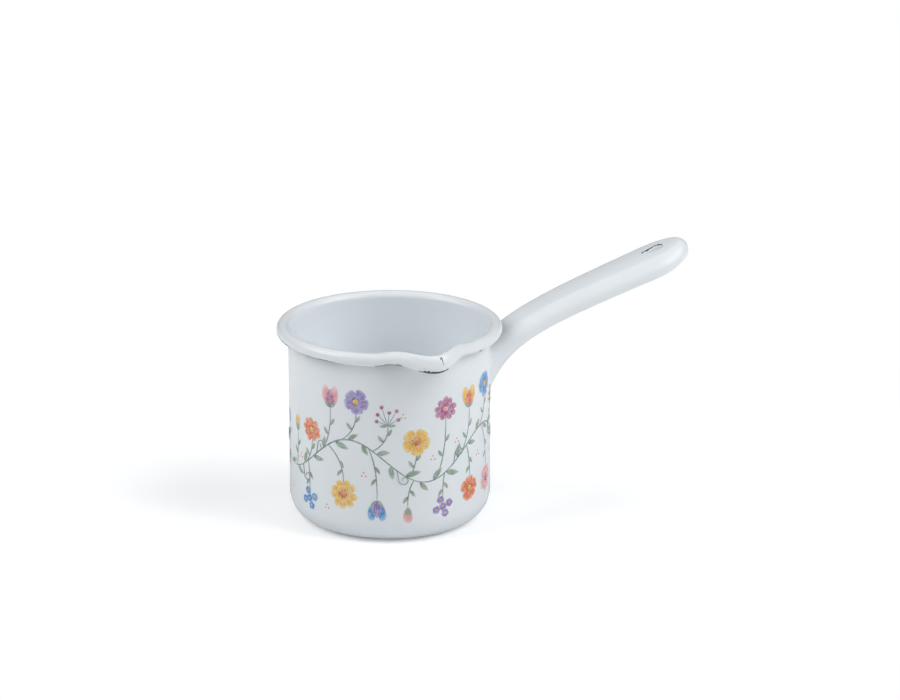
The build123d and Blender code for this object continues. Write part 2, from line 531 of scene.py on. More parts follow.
@dataclass(frozen=True)
class BarePatch:
    """A stretch of the curl's edge where the ground coat shows.

    The middle and half_width are degrees round the rim from the pouring lip,
    strength says how much of the stretch is bare, edge is the angle round the
    bead's own section where the white begins, and tilt is that edge's change for
    each degree round the rim.
    """

    middle: float
    half_width: float
    strength: float
    edge: float
    tilt: float = 0.0
    softness: float = 50.0
    end_steepness: float = 2.0
    most: float = 1.1

    def weight(self, angle: float, arc: float) -> float:
        """Give how bare a point of the bead is.

        Args:
            angle: degrees round the rim from the lip.
            arc: degrees round the bead's own section.

        Returns:
            A weight that grows toward the cut edge and the patch's middle.
        """
        away = (angle - self.middle + HALF_TURN) % FULL_TURN - HALF_TURN
        along = min(1.0, max(0.0, self.end_steepness * (1.0 - abs(away) / self.half_width)))
        edge = self.edge + self.tilt * away
        nearness = 0.5 + (edge - arc) / self.softness
        return self.strength * along * min(self.most, max(0.0, nearness))


@dataclass
class Vessel:
    """The pressed cup with its rounded base, curled rim and pouring lip.

    The step counts are the faces along each stretch of the sheet's section, from
    the floor over the wall, the curl's hollow and its cut edge to the bead outside.
    """

    node: str = "vessel"
    slot: str = "vessel_enamel"
    wall: float = 1.2
    height: float = 92.4
    radius_at_rim: float = 46.4
    radius_at_base: float = 46.0
    corner_radius: float = 12.1
    curl_height: float = 5.7
    curl_width: float = 6.4
    curl_end_angle: float = -128.0
    lip_direction: float = -90.0
    lip_half_angle: float = 31.0
    lip_reach: float = 9.0
    lip_inner_lift: float = 0.6
    lip_outer_drop: float = 1.7
    lip_shoulder_rise: float = 1.4
    lip_wall_lean: float = 30.0
    lip_depth: float = 26.0
    lip_sharpness: int = 4
    upper_pull_share: float = 0.45
    lower_pull_share: float = 0.4
    round_steps: int = 360
    floor_steps: int = 6
    corner_steps: int = 18
    straight_steps: int = 14
    leaning_steps: int = 18
    throat_steps: int = 6
    hollow_steps: int = 16
    edge_steps: int = 6
    bead_steps: int = 36
    crest_steps: int = 14
    bare_patches: tuple[BarePatch, ...] = (
        BarePatch(-93.0, 17.0, 1.15, -14.0, -1.0),
        BarePatch(-62.0, 18.0, 0.86, -39.0, -0.3),
        BarePatch(-21.0, 10.0, 1.0, -40.0),
        BarePatch(-0.5, 9.0, 1.15, -28.0),
        BarePatch(11.5, 2.2, 1.05, -36.0),
        BarePatch(32.0, 2.2, 1.05, -30.0),
        BarePatch(80.0, 24.0, 0.9, -38.0),
        BarePatch(150.0, 34.0, 0.9, -42.0),
    )
    nick_width: float = 0.45
    nick_sector: tuple[float, float] = (0.0, 5.0)
    nick_steps: int = 20
    nick_strength: float = 1.1
    nicks: tuple[tuple[float, float, float], ...] = (
        (1.2, 59.34, 91.75), (2.04, 58.53, 92.5), (2.22, 59.08, 91.93),
        (2.2, 59.58, 90.94), (2.5, 59.82, 89.96),
    )

    def __post_init__(self) -> None:
        """Work out the sizes that follow from the driving ones."""
        self.lean = math.atan2(self.radius_at_rim - self.radius_at_base, self.height)
        self.curl_radius = self.curl_height / 2
        self.curl_inside_radius = self.curl_radius - self.wall
        self.curl_flat = self.curl_width - self.curl_height
        self.curl_center_height = self.height - self.curl_radius
        self.foot_height = self.height - self.lip_depth

    def outer_radius(self, height: float) -> float:
        """Give the radius of the cup's outside at a height."""
        return self.radius_at_rim - (self.height - height) * math.tan(self.lean)

    def inner_radius(self, height: float) -> float:
        """Give the radius of the cup's inside at a height."""
        return self.outer_radius(height) - self.wall / math.cos(self.lean)

    def bulge(self, angle: float) -> float:
        """Give the share of the full lip at an angle from its middle.

        Args:
            angle: degrees from the lip's middle.

        Returns:
            A share from 0 to 1.
        """
        if abs(angle) >= self.lip_half_angle:
            return 0.0
        return math.cos(math.pi / 2 * angle / self.lip_half_angle) ** self.lip_sharpness

    def shoulder(self, angle: float) -> float:
        """Give the share of the raised shoulders at an angle from the lip's middle.

        Args:
            angle: degrees from the lip's middle.

        Returns:
            A share from 0 to 1.
        """
        if abs(angle) >= self.lip_half_angle:
            return 0.0
        return math.sin(math.pi * angle / self.lip_half_angle) ** 2

    def profile(self, angle: float) -> list[Point]:
        """Give the whole section of the sheet at an angle from the lip's middle.

        Args:
            angle: degrees round the rim from the lip.

        Returns:
            Radius and height of each point, from the middle of the underside
            over the rim to the middle of the floor. Every angle has as many.
        """
        bulge = self.bulge(angle)
        rise = self.lip_shoulder_rise * self.shoulder(angle)
        lean = math.degrees(self.lean) + self.lip_wall_lean * bulge
        rim_face = self.inner_radius(self.curl_center_height)
        inner = (
            rim_face + self.curl_radius * math.cos(self.lean) + self.lip_reach * bulge,
            self.curl_center_height + rise + self.lip_inner_lift * bulge,
        )
        outer = (
            inner[0] + self.curl_flat,
            self.curl_center_height + rise - self.lip_outer_drop * bulge,
        )
        wall_angle = HALF_TURN - lean
        top_angle = self.top_angle(angle)
        end = self.curl_end_angle
        thin, thick = self.curl_inside_radius, self.curl_radius
        mid = (thin + thick) / 2
        outside = self._lower_points(self.outer_radius, 0.0, self.corner_radius)
        rising = self._wall_curve(self.outer_radius(self.foot_height), inner, thin, wall_angle)
        falling = self._wall_curve(self.inner_radius(self.foot_height), inner, thick, wall_angle)
        inside = self._lower_points(
            self.inner_radius, self.wall, self.corner_radius - self.wall
        )
        edge_center = on_circle(outer, mid, end)
        return [
            *outside,
            *bezier_points(rising, self.leaning_steps),
            *arc_points(inner, thin, wall_angle, top_angle, self.throat_steps),
            *line_points(on_circle(inner, thin, top_angle), on_circle(outer, thin, top_angle), 1),
            *arc_points(outer, thin, top_angle, end, self.hollow_steps),
            *arc_points(edge_center, self.wall / 2, end + HALF_TURN, end, self.edge_steps),
            *arc_points(outer, thick, end, top_angle, self.bead_steps),
            *line_points(on_circle(outer, thick, top_angle), on_circle(inner, thick, top_angle), 2),
            *arc_points(inner, thick, top_angle, wall_angle, self.crest_steps),
            *reversed(bezier_points(falling, self.leaning_steps)),
            *reversed(inside),
        ]

    def _lower_points(self, radius_at: Callable[[float], float], floor: float,
                      corner: float) -> list[Point]:
        """Give one skin's points from the axis to the foot of the lip.

        Args:
            radius_at: gives the skin's radius at a height.
            floor: height of its floor.
            corner: radius of its corner.

        Returns:
            The points.
        """
        corner_height = floor + corner
        center = (radius_at(corner_height) - corner, corner_height)
        start = (radius_at(corner_height), corner_height)
        end = (radius_at(self.foot_height), self.foot_height)
        return [
            *line_points((0.0, floor), (center[0], floor), self.floor_steps),
            *arc_points(center, corner, -QUARTER_TURN, 0.0, self.corner_steps),
            *line_points(start, end, self.straight_steps),
        ]

    def _wall_curve(self, foot_radius: float, center: Point, radius: float,
                    wall_angle: float) -> list[Point]:
        """Give the control points of one skin of the wall above the lip's foot.

        Args:
            foot_radius: radius at the lip's foot.
            center: middle of the bead's inner arc.
            radius: radius of that arc on this skin.
            wall_angle: where the arc meets the wall, in degrees.

        Returns:
            Four control points.
        """
        foot = (foot_radius, self.foot_height)
        top = on_circle(center, radius, wall_angle)
        height = top[1] - foot[1]
        lower = height * self.lower_pull_share
        upper = height * self.upper_pull_share
        lean = math.radians(HALF_TURN - wall_angle)
        return [
            foot,
            (foot[0] + lower * math.tan(self.lean), foot[1] + lower),
            (top[0] - upper * math.tan(lean), top[1] - upper),
            top,
        ]

    def top_angle(self, angle: float) -> float:
        """Give where the bead's outer arc ends, in degrees round its own section."""
        drop = (self.lip_inner_lift + self.lip_outer_drop) * self.bulge(angle)
        return QUARTER_TURN - math.degrees(math.atan2(drop, self.curl_flat))

    def bead_arc(self, angle: float, row: int) -> float | None:
        """Give the angle round the bead's section of a point of the profile.

        Args:
            angle: degrees round the rim from the lip.
            row: the point's place in the profile.

        Returns:
            The angle in degrees, or None where the point is not on the bead's outside.
        """
        cut = (self.floor_steps + self.corner_steps + self.straight_steps + self.leaning_steps
               + self.throat_steps + 1 + self.hollow_steps)
        bead = cut + self.edge_steps
        if row < cut - self.edge_steps // 2 or row > bead + self.bead_steps:
            return None
        share = max(0, row - bead) / self.bead_steps
        return self.curl_end_angle + (self.top_angle(angle) - self.curl_end_angle) * share

    def place(self, angle: float, radius: float, height: float) -> Vector:
        """Give a point in millimetres from its angle from the lip, radius and height."""
        turn = math.radians(self.lip_direction + angle)
        return Vector((radius * math.cos(turn), radius * math.sin(turn), height))

    def _nick_weight(self, spot: Vector) -> float:
        """Give how near a point is to the nick in the glaze beside the lip.

        Args:
            spot: a point in millimetres.

        Returns:
            A weight that is highest on the nick's line.
        """
        best = 0.0
        corners = [self.place(*corner) for corner in self.nicks]
        for first, second in zip(corners, corners[1:]):
            along = second - first
            share = min(1.0, max(0.0, (spot - first).dot(along) / along.length_squared))
            away = (spot - first - along * share).length
            best = max(best, self.nick_strength * (1.0 - away / self.nick_width))
        return best

    def build(self, finish: WhiteEnamel) -> None:
        """Make the cup, which stands for its CAD node, and dress it.

        Args:
            finish: the enamel that covers the sheet.
        """
        low, high = self.nick_sector
        fine = [low + (high - low) * step / self.nick_steps for step in range(self.nick_steps + 1)]
        even = [FULL_TURN * step / self.round_steps - HALF_TURN
                for step in range(self.round_steps + 1)]
        angles = sorted([angle for angle in even if not low <= angle <= high] + fine)
        profiles = [self.profile(angle) for angle in angles]
        columns, rows = len(angles) - 1, len(profiles[0]) - 1
        bm = bmesh.new()
        layer = bm.verts.layers.float.new(DARK_COAT_AND_SHADE)
        made = bmesh.ops.create_grid(bm, x_segments=columns, y_segments=rows, size=0.5)
        for vert in made["verts"]:
            column = round((vert.co.x + 0.5) * columns)
            row = round((vert.co.y + 0.5) * rows)
            angle = angles[column]
            spot = self.place(angle, *profiles[column][row])
            arc = self.bead_arc(angle, row)
            if arc is not None:
                vert[layer] = max(patch.weight(angle, arc) for patch in self.bare_patches)
            if low <= angle <= high:
                vert[layer] = max(vert[layer], self._nick_weight(spot))
            vert.co = spot * MM
        bmesh.ops.remove_doubles(bm, verts=bm.verts, dist=MERGE_DISTANCE)
        bmesh.ops.recalc_face_normals(bm, faces=bm.faces)
        cup = make_object("enamelled_cup", bm, [finish.build("cup_enamel", True)])
        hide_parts(self.node)


class Pigment(FiredPaint, Enum):
    """The colours of the garland, each with heart, body, tip and stroke."""

    YELLOW = ("D58E2C", "F5C24E", "FBE9A6", "B87420")
    PINK = ("D9646E", "F3A9AC", "FADCDC", "C2505F")
    MAUVE = ("7E2F5E", "BC6C9A", "E2B3CC", "6C2750")
    VIOLET = ("5B4A96", "9C8BCB", "D3CAEA", "4E3F86")
    BLUE = ("1D5FB0", "4E9BDD", "B4D7F3", "164E96")
    CORAL = ("C2481F", "EE8355", "F8C4A8", "A93C1A")
    LEAF = ("6D8878", "9DB49C", "D3DFCB", "5F7A6C")
    LINE = ("7C908F", "869997", "95A7A4", "6C8080")
    SEED = ("4A2A1C", "6E3F22", "A9713A", "33201A")


class Outline(Enum):
    """How a petal swells: the growth at its base and the closing at its tip."""

    ROUND = (0.8, 0.34)
    STRAP = (0.55, 0.42)
    ALMOND = (0.75, 0.95)
    DISC = (0.5, 0.5)

    def share(self, along: float) -> float:
        """Give the share of the full width at a share of the length.

        Args:
            along: share of the length.

        Returns:
            A share from 0 to 1.
        """
        grow, close = self.value
        widest = grow / (grow + close)
        most = widest ** grow * (1 - widest) ** close
        return along ** grow * (1 - along) ** close / most


class Motif(Enum):
    """What a sprig of the garland ends in."""

    BLOSSOM = "blossom"
    ROSETTE = "rosette"
    TULIP = "tulip"
    POSY = "posy"
    BUD = "bud"
    BERRIES = "berries"


@dataclass(frozen=True)
class Sprig:
    """One stem that leaves the vine and its flower.

    The root and the tip's first value are millimetres round the wall from the
    middle of the repeat, the tip's second value is its height, and size is the
    flower's width.
    """

    root: float
    tip: Point
    size: float
    motif: Motif
    colour: Pigment
    accent: Pigment


@dataclass
class Garland:
    """The painted garland: a wavy vine round the wall with flowers, buds and leaves.

    Each stalk of the berries is its turn in degrees and its share of the sprig's size.
    """

    vessel: Vessel
    slot: str = "vessel_enamel"
    repeats: int = 2
    waves: int = 4
    vine_height: float = 40.0
    vine_swing: float = 10.0
    vine_width: float = 0.72
    stem_width: float = 0.58
    fine_width: float = 0.3
    leaf_gap: float = 6.6
    leaf_length: float = 6.4
    leaf_width: float = 2.5
    proud: float = 0.03
    layer: float = 0.006
    sunk: float = 0.03
    crease_angle: float = 45.0
    coil_offset: Point = (3.4, 4.6)
    coil_radius: float = 2.6
    coil_closing: float = 0.045
    coil_turn: float = 24.0
    coil_steps: int = 17
    stalks: tuple[Point, ...] = (
        (-64.0, 0.5), (-34.0, 0.72), (-10.0, 0.56), (14.0, 0.82), (38.0, 0.62), (66.0, 0.48),
    )
    seed: int = 11
    sprigs: tuple[Sprig, ...] = (
        Sprig(-70.0, (-69.0, 47.0), 8.0, Motif.BUD, Pigment.YELLOW, Pigment.LEAF),
        Sprig(-64.0, (-57.0, 47.5), 11.0, Motif.ROSETTE, Pigment.CORAL, Pigment.YELLOW),
        Sprig(-60.0, (-59.0, 20.5), 10.0, Motif.POSY, Pigment.BLUE, Pigment.YELLOW),
        Sprig(-50.0, (-45.5, 64.0), 10.5, Motif.TULIP, Pigment.PINK, Pigment.MAUVE),
        Sprig(-47.0, (-39.0, 27.5), 13.0, Motif.ROSETTE, Pigment.YELLOW, Pigment.CORAL),
        Sprig(-40.0, (-32.5, 65.0), 11.0, Motif.BLOSSOM, Pigment.VIOLET, Pigment.YELLOW),
        Sprig(-27.0, (-23.0, 22.0), 10.0, Motif.TULIP, Pigment.BLUE, Pigment.VIOLET),
        Sprig(-25.0, (-18.0, 58.0), 11.0, Motif.BERRIES, Pigment.MAUVE, Pigment.LEAF),
        Sprig(-9.0, (-5.0, 46.0), 12.0, Motif.BLOSSOM, Pigment.YELLOW, Pigment.CORAL),
        Sprig(-6.0, (-9.0, 18.5), 7.5, Motif.BUD, Pigment.PINK, Pigment.LEAF),
        Sprig(4.0, (9.5, 60.0), 11.0, Motif.ROSETTE, Pigment.MAUVE, Pigment.PINK),
        Sprig(9.0, (8.0, 20.0), 10.0, Motif.POSY, Pigment.VIOLET, Pigment.YELLOW),
        Sprig(17.0, (24.0, 61.0), 10.5, Motif.TULIP, Pigment.YELLOW, Pigment.CORAL),
        Sprig(22.0, (24.5, 25.5), 11.0, Motif.BLOSSOM, Pigment.CORAL, Pigment.YELLOW),
        Sprig(32.0, (38.0, 65.0), 11.5, Motif.BLOSSOM, Pigment.BLUE, Pigment.YELLOW),
        Sprig(34.0, (40.0, 26.0), 12.0, Motif.ROSETTE, Pigment.PINK, Pigment.MAUVE),
        Sprig(44.0, (49.0, 57.0), 9.5, Motif.BERRIES, Pigment.CORAL, Pigment.LEAF),
        Sprig(52.0, (55.0, 20.0), 10.0, Motif.TULIP, Pigment.MAUVE, Pigment.PINK),
        Sprig(61.0, (63.5, 47.0), 7.5, Motif.BUD, Pigment.BLUE, Pigment.LEAF),
    )
    tendrils: tuple[float, ...] = (-64.0, -54.0, -14.0, 14.0, 43.0, 58.0)
    seeds: tuple[Point, ...] = (
        (-48.0, 16.0), (-29.0, 34.0), (-11.0, 62.0), (3.0, 41.0), (16.0, 47.0),
        (31.0, 37.0), (47.0, 34.0), (-66.0, 36.0), (69.0, 19.0),
    )

    def __post_init__(self) -> None:
        """Work out the circumference and get ready to paint."""
        self.around = math.tau * self.vessel.outer_radius(self.vine_height)
        self.chance = Random(self.seed)
        self.washes: dict[Pigment, bmesh.types.BMesh] = {}
        self.level = 0
        self.shift = 0.0

    def on_wall(self, point: Point, proud: float) -> Vector:
        """Give the place on the wall of a point of the drawing, in metres.

        Args:
            point: millimetres round the wall and up.
            proud: how far it stands out, in millimetres.

        Returns:
            The place.
        """
        turn = math.radians(
            self.vessel.lip_direction + FULL_TURN * (point[0] + self.shift) / self.around
        )
        radius = self.vessel.outer_radius(point[1]) + proud
        return Vector((radius * math.cos(turn), radius * math.sin(turn), point[1])) * MM

    def wash(self, pigment: Pigment, columns: int, rows: int,
             drawing: Callable[[float, float], Point]) -> None:
        """Lay one patch of paint on the wall, above all that is there.

        Args:
            pigment: its colour.
            columns: number of faces across.
            rows: number of faces along.
            drawing: gives a point of the drawing from shares across and along.
        """
        if pigment not in self.washes:
            self.washes[pigment] = bmesh.new()
            self.washes[pigment].loops.layers.uv.new(PAINT_UV)
        bm = self.washes[pigment]
        chart = bm.loops.layers.uv[PAINT_UV]
        made = bmesh.ops.create_grid(bm, x_segments=columns, y_segments=rows, size=0.5)
        faces = {face for vert in made["verts"] for face in vert.link_faces}
        for face in faces:
            for loop in face.loops:
                loop[chart].uv = (loop.vert.co.x + 0.5, loop.vert.co.y + 0.5)
        proud = self.proud + self.layer * self.level
        for vert in made["verts"]:
            vert.co = self.on_wall(drawing(vert.co.x + 0.5, vert.co.y + 0.5), proud)
        self.level += 1

    def petal(self, pigment: Pigment, base: Point, heading: float, length: float,
              width: float, outline: Outline, bend: float = 0.0, columns: int = 4,
              rows: int = 8) -> None:
        """Paint one petal, leaf or dot.

        Args:
            pigment: its colour.
            base: where it grows from.
            heading: degrees from the line round the wall, toward which it grows.
            length: from base to tip.
            width: at its widest.
            outline: how it swells and closes.
            bend: share of the length by which the tip swings to the left.
            columns: number of faces across.
            rows: number of faces along.
        """
        wobble = self.chance.uniform(0.0, math.tau)
        depth = 0.0 if outline is Outline.DISC else self.chance.uniform(0.03, 0.09)

        def drawing(across: float, along: float) -> Point:
            """Give the petal's point at shares across and along it.

            Args:
                across: share of the width.
                along: share of the length.

            Returns:
                The point of the drawing.
            """
            share = (1 - math.cos(math.pi * along)) / 2
            ripple = 1 + depth * math.sin(7 * share + wobble + 3 * across)
            half = width / 2 * outline.share(share) * ripple
            aside = (1 - 2 * across) * half + bend * length * share * share
            middle = on_circle(base, length * share, heading)
            return on_circle(middle, aside, heading + QUARTER_TURN)

        self.wash(pigment, columns, rows, drawing)

    def dot(self, pigment: Pigment, center: Point, size: float) -> None:
        """Paint one round dot."""
        base = (center[0], center[1] - size / 2)
        self.petal(pigment, base, QUARTER_TURN, size, size, Outline.DISC, columns=2, rows=6)

    def line(self, points: Sequence[Point], width: float, pigment: Pigment = Pigment.LINE) -> None:
        """Paint one brush line that swells from a thin start and thins to its end.

        Args:
            points: the line's middle.
            width: at its widest.
            pigment: its colour.
        """
        last = len(points) - 1

        def drawing(across: float, along: float) -> Point:
            """Give the line's point at shares across and along it.

            Args:
                across: share of the width.
                along: share of the length.

            Returns:
                The point of the drawing.
            """
            index = round(along * last)
            before, after = points[max(0, index - 1)], points[min(last, index + 1)]
            heading = math.degrees(math.atan2(after[1] - before[1], after[0] - before[0]))
            swell = 0.45 + 0.55 * math.sin(math.pi * min(0.85, 0.12 + along * 0.8))
            half = width / 2 * swell
            return on_circle(points[index], (1 - 2 * across) * half, heading + QUARTER_TURN)

        self.wash(pigment, 1, last, drawing)

    def leaf(self, base: Point, heading: float, length: float, bend: float) -> None:
        """Paint one leaf with its middle rib.

        Args:
            base: where it grows from.
            heading: degrees from the line round the wall, toward which it grows.
            length: from base to tip.
            bend: share of the length by which the tip swings to the left.
        """
        self.petal(Pigment.LEAF, base, heading, length, length * self.leaf_width
                   / self.leaf_length, Outline.ALMOND, bend)
        rib = []
        for step in range(7):
            share = 0.86 * step / 6
            middle = on_circle(base, length * share, heading)
            rib.append(on_circle(middle, bend * length * share * share, heading + QUARTER_TURN))
        self.line(rib, self.fine_width)

    def vine_at(self, along: float) -> Point:
        """Give the vine's point at a distance round the wall."""
        turn = math.tau * along * self.waves / self.around
        return along, self.vine_height - self.vine_swing * math.cos(turn)

    def heart(self, center: Point, size: float, accent: Pigment) -> None:
        """Paint a flower's heart: a round spot with a ring of seeds.

        Args:
            center: the flower's middle.
            size: the flower's width.
            accent: the spot's colour.
        """
        self.dot(accent, center, size * 0.24)
        for step in range(7):
            turn = FULL_TURN * step / 7 + self.chance.uniform(-12.0, 12.0)
            reach = size * self.chance.uniform(0.13, 0.17)
            self.dot(Pigment.SEED, on_circle(center, reach, turn), size * 0.055)

    def ring(self, pigment: Pigment, center: Point, count: int, reach: float, width: float,
             outline: Outline, start: float) -> None:
        """Paint a ring of petals round a center.

        Args:
            pigment: their colour.
            center: the flower's middle.
            count: how many there are.
            reach: from the middle to the tips.
            width: of each petal.
            outline: how they swell and close.
            start: heading of the first one in degrees.
        """
        for step in range(count):
            heading = start + FULL_TURN * step / count + self.chance.uniform(-5.0, 5.0)
            length = reach * self.chance.uniform(0.9, 1.06)
            base = on_circle(center, reach * 0.08, heading)
            bend = self.chance.uniform(-0.1, 0.1)
            self.petal(pigment, base, heading, length, width, outline, bend)

    def flower(self, sprig: Sprig, heading: float) -> None:
        """Paint what the sprig ends in, facing the way that its stem grows.

        Args:
            sprig: the stem and what it ends in.
            heading: degrees from the line round the wall, toward which it grows.
        """
        half = sprig.size / 2
        center = on_circle(sprig.tip, half * 0.6, heading)
        if sprig.motif is Motif.BLOSSOM:
            self.ring(sprig.colour, center, 5, half, half * 0.98, Outline.ROUND, heading + 36)
            self.heart(center, sprig.size, sprig.accent)
        elif sprig.motif is Motif.ROSETTE:
            self.ring(sprig.colour, center, 9, half, half * 0.56, Outline.STRAP, heading)
            self.ring(sprig.colour, center, 7, half * 0.62, half * 0.4, Outline.STRAP, heading + 9)
            self.heart(center, sprig.size, sprig.accent)
        elif sprig.motif is Motif.TULIP:
            self._tulip(sprig, heading)
        elif sprig.motif is Motif.POSY:
            self._posy(sprig, center)
        elif sprig.motif is Motif.BUD:
            self._bud(sprig, heading)
        else:
            self._berries(sprig, heading)

    def _tulip(self, sprig: Sprig, heading: float) -> None:
        """Paint two outer petals, one before them and two sepals.

        Args:
            sprig: the stem and what it ends in.
            heading: degrees from the line round the wall, toward which it grows.
        """
        tall = sprig.size
        for side in (-1, 1):
            self.petal(sprig.colour, sprig.tip, heading + side * 26, tall, tall * 0.42,
                       Outline.STRAP, side * -0.16)
        self.petal(sprig.accent, sprig.tip, heading, tall * 0.84, tall * 0.46, Outline.ALMOND)
        for side in (-1, 1):
            self.petal(Pigment.LEAF, sprig.tip, heading + side * 62, tall * 0.42, tall * 0.13,
                       Outline.ALMOND, side * -0.3, columns=2, rows=6)

    def _posy(self, sprig: Sprig, center: Point) -> None:
        """Paint five small five-petalled flowers close together.

        Args:
            sprig: the stem and what it ends in.
            center: the posy's middle.
        """
        half = sprig.size / 2
        places = [center] + [on_circle(center, half * 0.72, 20 + 90 * step) for step in range(4)]
        for place in reversed(places):
            start = self.chance.uniform(0.0, 72.0)
            for step in range(5):
                self.petal(sprig.colour, place, start + 72 * step, half * 0.4, half * 0.36,
                           Outline.ROUND, columns=2, rows=5)
            self.dot(sprig.accent, place, half * 0.2)

    def _bud(self, sprig: Sprig, heading: float) -> None:
        """Paint a closed bud between two sepals.

        Args:
            sprig: the stem and what it ends in.
            heading: degrees from the line round the wall, toward which it grows.
        """
        tall = sprig.size
        self.petal(sprig.colour, sprig.tip, heading, tall, tall * 0.56, Outline.STRAP)
        for side in (-1, 1):
            self.petal(sprig.accent, sprig.tip, heading + side * 24, tall * 0.62, tall * 0.2,
                       Outline.ALMOND, side * -0.25, columns=2, rows=6)

    def _berries(self, sprig: Sprig, heading: float) -> None:
        """Paint a loose fan of berries on fine stalks with two small leaves.

        Args:
            sprig: the stem and what it ends in.
            heading: degrees from the line round the wall, toward which it grows.
        """
        for turn, share in self.stalks:
            tip = on_circle(sprig.tip, sprig.size * share, heading + turn)
            self.line(line_points(sprig.tip, tip, 4) + [tip], self.fine_width)
            self.dot(sprig.colour, tip, sprig.size * 0.17)
        for side in (-1, 1):
            self.petal(sprig.accent, sprig.tip, heading + side * 104, sprig.size * 0.36,
                       sprig.size * 0.13, Outline.ALMOND, side * -0.2, columns=2, rows=6)

    def sprig(self, sprig: Sprig) -> None:
        """Paint one sprig: its stem, two leaves and its flower.

        Args:
            sprig: the stem and what it ends in.
        """
        root = self.vine_at(sprig.root)
        rise = sprig.tip[1] - root[1]
        lean = sprig.tip[0] - root[0]
        corners = [
            root,
            (root[0] + lean * 0.75, root[1] + rise * 0.2),
            (sprig.tip[0] + lean * 0.1, root[1] + rise * 0.62),
            sprig.tip,
        ]
        stem = bezier_points(corners, 14) + [sprig.tip]
        self.line(stem, self.stem_width)
        last, end = stem[-3], stem[-1]
        heading = math.degrees(math.atan2(end[1] - last[1], end[0] - last[0]))
        for index, side in ((6, 1), (9, -1)):
            self.leaf(stem[index], heading + side * 48, self.leaf_length * 0.66, side * -0.18)
        self.flower(sprig, heading)

    def tendril(self, along: float, up: bool) -> None:
        """Paint a tendril that leaves the vine and coils.

        Args:
            along: where it leaves the vine, round the wall.
            up: whether it coils above the vine.
        """
        start = self.vine_at(along)
        way = 1 if up else -1
        center = (start[0] + self.coil_offset[0], start[1] + way * self.coil_offset[1])
        points = line_points(start, (center[0] - self.coil_radius, center[1] - way * 0.8), 4)
        for step in range(self.coil_steps):
            reach = self.coil_radius * (1 - self.coil_closing * step)
            points.append(on_circle(center, reach, HALF_TURN - way * self.coil_turn * step))
        self.line(points, self.fine_width * 1.2)

    def vine(self) -> None:
        """Paint one repeat of the vine with its leaves and tendrils."""
        span = self.around / self.repeats
        wave = self.around / self.waves
        for part in range(self.waves // self.repeats):
            start = -span / 2 + part * wave
            points = [self.vine_at(start - 0.8 + (wave + 1.6) * step / 64) for step in range(65)]
            self.line(points, self.vine_width)
        count = round(span / self.leaf_gap)
        for step in range(count):
            along = -span / 2 + span * (step + 0.5) / count
            before, after = self.vine_at(along - 0.5), self.vine_at(along + 0.5)
            slope = math.degrees(math.atan2(after[1] - before[1], after[0] - before[0]))
            side = 1 if step % 2 else -1
            length = self.leaf_length * self.chance.uniform(0.85, 1.15)
            self.leaf(self.vine_at(along), slope + side * self.chance.uniform(42.0, 58.0),
                      length, side * -0.16)
        for step, along in enumerate(self.tendrils):
            self.tendril(along, bool(step % 2))

    def seed_group(self, center: Point) -> None:
        """Paint three loose dots."""
        for turn in (90.0, 210.0, 330.0):
            self.dot(Pigment.CORAL, on_circle(center, 1.1, turn), 0.75)

    def build(self, enamel: WhiteEnamel) -> None:
        """Paint the whole garland and dress each colour as a piece.

        Args:
            enamel: the glaze that the colours are fired into.
        """
        span = self.around / self.repeats
        for repeat in range(self.repeats):
            self.shift = repeat * span
            self.level = 0
            self.vine()
            for sprig in self.sprigs:
                self.level = 6
                self.sprig(sprig)
            for center in self.seeds:
                self.level = 6
                self.seed_group(center)
        for pigment, bm in self.washes.items():
            self._fuse(bm)
            name = f"garland_{pigment.name.lower()}"
            material = pigment.build(f"{pigment.name.lower()}_paint", enamel)
            make_object(name, bm, [material])

    def _fuse(self, bm: bmesh.types.BMesh) -> None:
        """Give the paint its thin body, which reaches into the glaze.

        Args:
            bm: all patches of one colour.
        """
        bmesh.ops.remove_doubles(bm, verts=bm.verts, dist=MERGE_DISTANCE)
        skin = bmesh.ops.extrude_face_region(bm, geom=bm.faces[:], use_keep_orig=True)["geom"]
        for vert in skin:
            if isinstance(vert, bmesh.types.BMVert):
                flat = Vector((vert.co.x, vert.co.y, 0.0))
                depth = self.vessel.outer_radius(vert.co.z / MM) - self.sunk
                vert.co += flat.normalized() * (depth * MM - flat.length)
        bmesh.ops.recalc_face_normals(bm, faces=bm.faces)
        for edge in bm.edges:
            edge.smooth = edge.calc_face_angle(0.0) < math.radians(self.crease_angle)


